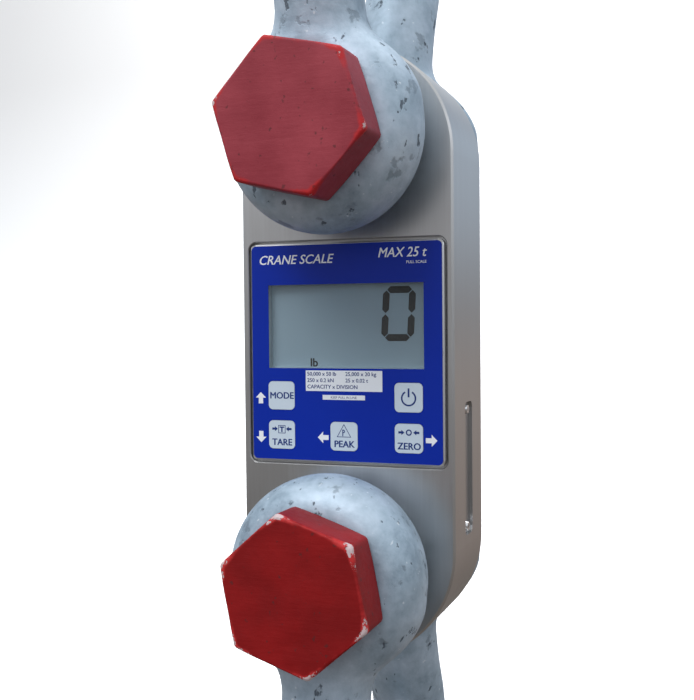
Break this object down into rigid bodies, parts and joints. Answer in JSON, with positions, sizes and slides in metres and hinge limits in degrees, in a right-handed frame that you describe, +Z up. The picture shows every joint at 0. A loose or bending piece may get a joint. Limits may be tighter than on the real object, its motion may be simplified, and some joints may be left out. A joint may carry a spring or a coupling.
{
  "type": "crane scale",
  "caption": "Tension-link crane scale: a load-sensing steel link with a display and membrane keys, hung between two bolt-type anchor shackles.",
  "frame": {"origin": "where a crane hook bears: the inside of the upper bow's crown, on its centre line", "axes": "+Z up along the line of pull, +X to the right of the display, the display faces -Y"},
  "size_m": [0.123, 0.2382, 0.7322],
  "materials": {
    "galvanised_steel": "hot-dip galvanised, mottled",
    "red_bolt": "red paint worn through at the head's corners",
    "zinc_steel": "zinc plated",
    "link_steel": "brushed, nickel plated alloy steel",
    "plate_aluminium": "satin anodised",
    "black_rubber": "matte",
    "blue_overlay": "printed polyester film",
    "window": "clear",
    "white_label": "printed film",
    "key_cap": "printed film over a moulded cap",
    "dome_metal": "gold plated spring metal",
    "lcd": "liquid-crystal glass",
    "black_plastic": "moulded",
    "light_guide": "diffusing",
    "strip_rubber": "conductive silicone",
    "circuit_board": "solder mask",
    "brass": "turned",
    "gauge_film": "polyimide film",
    "lead_pvc": "insulated wire",
    "cell_jacket": "printed steel can",
    "spring_steel": "nickel plated wire"
  },
  "bodies": {
    "upper_shackle": {"upper_bow": "galvanised_steel"},
    "upper_bolt_set": {"upper_bolt": "red_bolt", "upper_nut": "galvanised_steel", "upper_cotter": "zinc_steel"},
    "link": {"link_body": "link_steel", "front_plate": "plate_aluminium", "front_gasket": "black_rubber", "front_plate_screws": "zinc_steel", "keypad_overlay": "blue_overlay", "display_window": "window", "capacity_label": "white_label", "service_label": "white_label", "display_glass": "lcd", "display_frame": "black_plastic", "backlight": "light_guide", "contact_strips": "strip_rubber", "main_board": "circuit_board", "board_chips": "black_plastic", "amplifier_board": "circuit_board", "board_header": "black_plastic", "board_spacers": "brass", "board_screws": "zinc_steel", "strain_gauges": "gauge_film", "gauge_leads": "lead_pvc", "rear_cover": "link_steel", "rear_gasket": "black_rubber", "rear_cover_screws": "zinc_steel", "battery_cover": "link_steel", "battery_seal": "black_rubber", "battery_cover_screws": "zinc_steel", "battery_cells": "cell_jacket", "battery_end_plates": "black_plastic", "battery_springs": "spring_steel", "battery_leads": "lead_pvc", "key_domes": "dome_metal"},
    "lower_shackle": {"lower_bow": "galvanised_steel"},
    "lower_bolt_set": {"lower_bolt": "red_bolt", "lower_nut": "galvanised_steel", "lower_cotter": "zinc_steel"},
    "key_mode_body": {"key_mode": "key_cap"},
    "key_power_body": {"key_power": "key_cap"},
    "key_tare_body": {"key_tare": "key_cap"},
    "key_peak_body": {"key_peak": "key_cap"},
    "key_zero_body": {"key_zero": "key_cap"}
  },
  "joints": [
    {"name": "upper_swing", "type": "hinge", "parent": "upper_shackle", "child": "link", "pos_m": [0, 0, -0.2034], "axis": [0, 1, 0], "range_deg": [-110, 110]},
    {"name": "upper_bolt_turn", "type": "hinge", "parent": "upper_shackle", "child": "upper_bolt_set", "pos_m": [0, 0, -0.2034], "axis": [0, 1, 0], "continuous": true},
    {"name": "lower_swing", "type": "hinge", "parent": "link", "child": "lower_shackle", "pos_m": [0, 0, -0.4354], "axis": [0, 1, 0], "range_deg": [-110, 110]},
    {"name": "lower_bolt_turn", "type": "hinge", "parent": "lower_shackle", "child": "lower_bolt_set", "pos_m": [0, 0, -0.4354], "axis": [0, 1, 0], "continuous": true},
    {"name": "press_mode", "type": "slide", "parent": "link", "child": "key_mode_body", "axis": [0, 1, 0], "range_m": [0, 0.0004], "stiffness_N_per_m": 3000, "springref_m": -0.0004},
    {"name": "press_power", "type": "slide", "parent": "link", "child": "key_power_body", "axis": [0, 1, 0], "range_m": [0, 0.0004], "stiffness_N_per_m": 3000, "springref_m": -0.0004},
    {"name": "press_tare", "type": "slide", "parent": "link", "child": "key_tare_body", "axis": [0, 1, 0], "range_m": [0, 0.0004], "stiffness_N_per_m": 3000, "springref_m": -0.0004},
    {"name": "press_peak", "type": "slide", "parent": "link", "child": "key_peak_body", "axis": [0, 1, 0], "range_m": [0, 0.0004], "stiffness_N_per_m": 3000, "springref_m": -0.0004},
    {"name": "press_zero", "type": "slide", "parent": "link", "child": "key_zero_body", "axis": [0, 1, 0], "range_m": [0, 0.0004], "stiffness_N_per_m": 3000, "springref_m": -0.0004}
  ]
}
